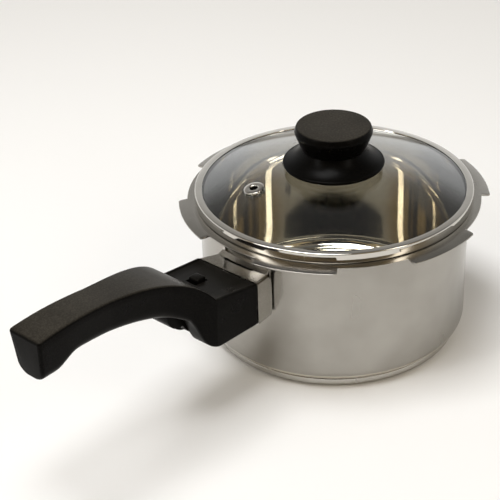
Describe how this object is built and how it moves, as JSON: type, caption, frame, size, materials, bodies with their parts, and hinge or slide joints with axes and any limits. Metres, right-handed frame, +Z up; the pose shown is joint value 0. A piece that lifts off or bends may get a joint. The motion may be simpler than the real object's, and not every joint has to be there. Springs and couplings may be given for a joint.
{
  "type": "saucepan with glass lid",
  "caption": "Steel saucepan with a lugged bayonet rim, thick base, moulded black side handle with a sprung lock lever, and a domed glass lid with knob and steam vent.",
  "frame": {"origin": "centre of the base's underside, on the worktop", "axes": "+Z up, +X along the handle away from the pan, +Y to the left of the handle seen from the pan"},
  "size_m": [0.3713, 0.208, 0.1485],
  "materials": {
    "pan_steel": "satin polished stainless steel outside, mirror polished inside",
    "base_aluminium": "cast aluminium core",
    "base_steel": "satin stainless steel with turning marks underneath",
    "bracket_steel": "welded stainless steel",
    "guard_steel": "satin stainless steel sheet",
    "fastener_steel": "plain steel",
    "handle_phenolic": "satin black phenolic moulding",
    "lever_plastic": "satin black phenolic moulding",
    "lid_glass": "clear tempered glass",
    "band_steel": "polished stainless steel strip",
    "knob_phenolic": "fine grained black phenolic moulding",
    "insert_brass": "turned brass",
    "gasket_silicone": "translucent white silicone"
  },
  "bodies": {
    "pan": {"pan_shell": "pan_steel", "base_core": "base_aluminium", "base_cap": "base_steel", "bracket_saddle": "bracket_steel", "bracket_tongue": "bracket_steel", "tongue_nut": "fastener_steel", "flame_guard": "guard_steel", "handle_grip": "handle_phenolic", "handle_screw": "fastener_steel", "screw_washer": "fastener_steel", "lever_pin": "fastener_steel", "lever_spring": "fastener_steel"},
    "lever": {"lock_lever": "lever_plastic"},
    "lid": {"lid_glass": "lid_glass", "lid_rim_band": "band_steel", "vent_eyelet": "band_steel", "vent_washer": "band_steel", "knob_grip": "knob_phenolic", "knob_insert": "insert_brass", "knob_skirt": "knob_phenolic", "knob_gasket": "gasket_silicone", "knob_under_gasket": "gasket_silicone", "knob_washer": "band_steel", "knob_screw": "fastener_steel"}
  },
  "joints": [
    {"name": "lid_lift", "type": "slide", "parent": "pan", "child": "lid", "axis": [0, 0, 1], "range_m": [0, 0.15]},
    {"name": "lock_lever_squeeze", "type": "hinge", "parent": "pan", "child": "lever", "pos_m": [0.1425, 0, 0.08408], "axis": [0, -1, 0], "range_deg": [0, 7], "stiffness_Nm_per_rad": 0.6, "springref_deg": -14.32, "deforming": ["lever_spring"]}
  ]
}
